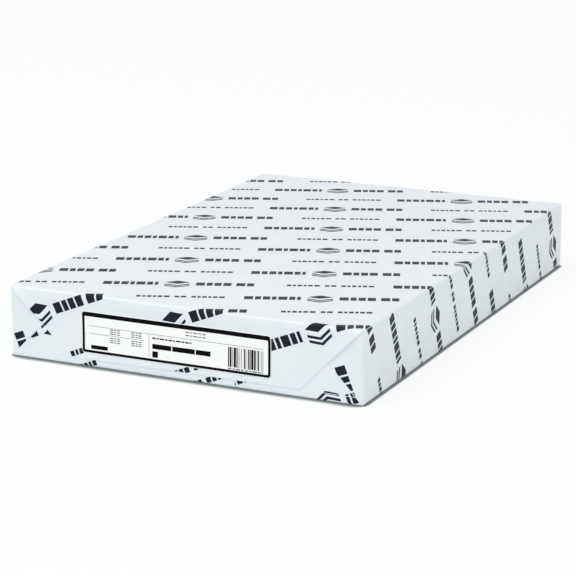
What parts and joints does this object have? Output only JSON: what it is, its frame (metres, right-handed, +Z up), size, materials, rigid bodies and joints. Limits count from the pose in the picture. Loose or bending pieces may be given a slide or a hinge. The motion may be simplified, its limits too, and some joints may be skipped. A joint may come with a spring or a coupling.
{
  "type": "ream of paper",
  "caption": "Sealed ream of large-format paper in a printed paper wrapper with folded ends and a framed label on one end.",
  "frame": {"origin": "middle of the underside", "axes": "+X across the pack to the right as seen from the labelled end, +Y along it from the labelled end to the back, +Z up"},
  "size_m": [0.3056, 0.4592, 0.0588],
  "materials": {
    "wrapper_paper": "satin",
    "wrapper_ink": "satin",
    "label_paper": "satin",
    "label_ink": "satin"
  },
  "bodies": {
    "root": {"wrapped_ream": "wrapper_paper", "wrapper_print": "wrapper_ink", "end_label": "label_paper", "label_frame": "label_ink", "label_print": "label_ink"}
  },
  "joints": []
}
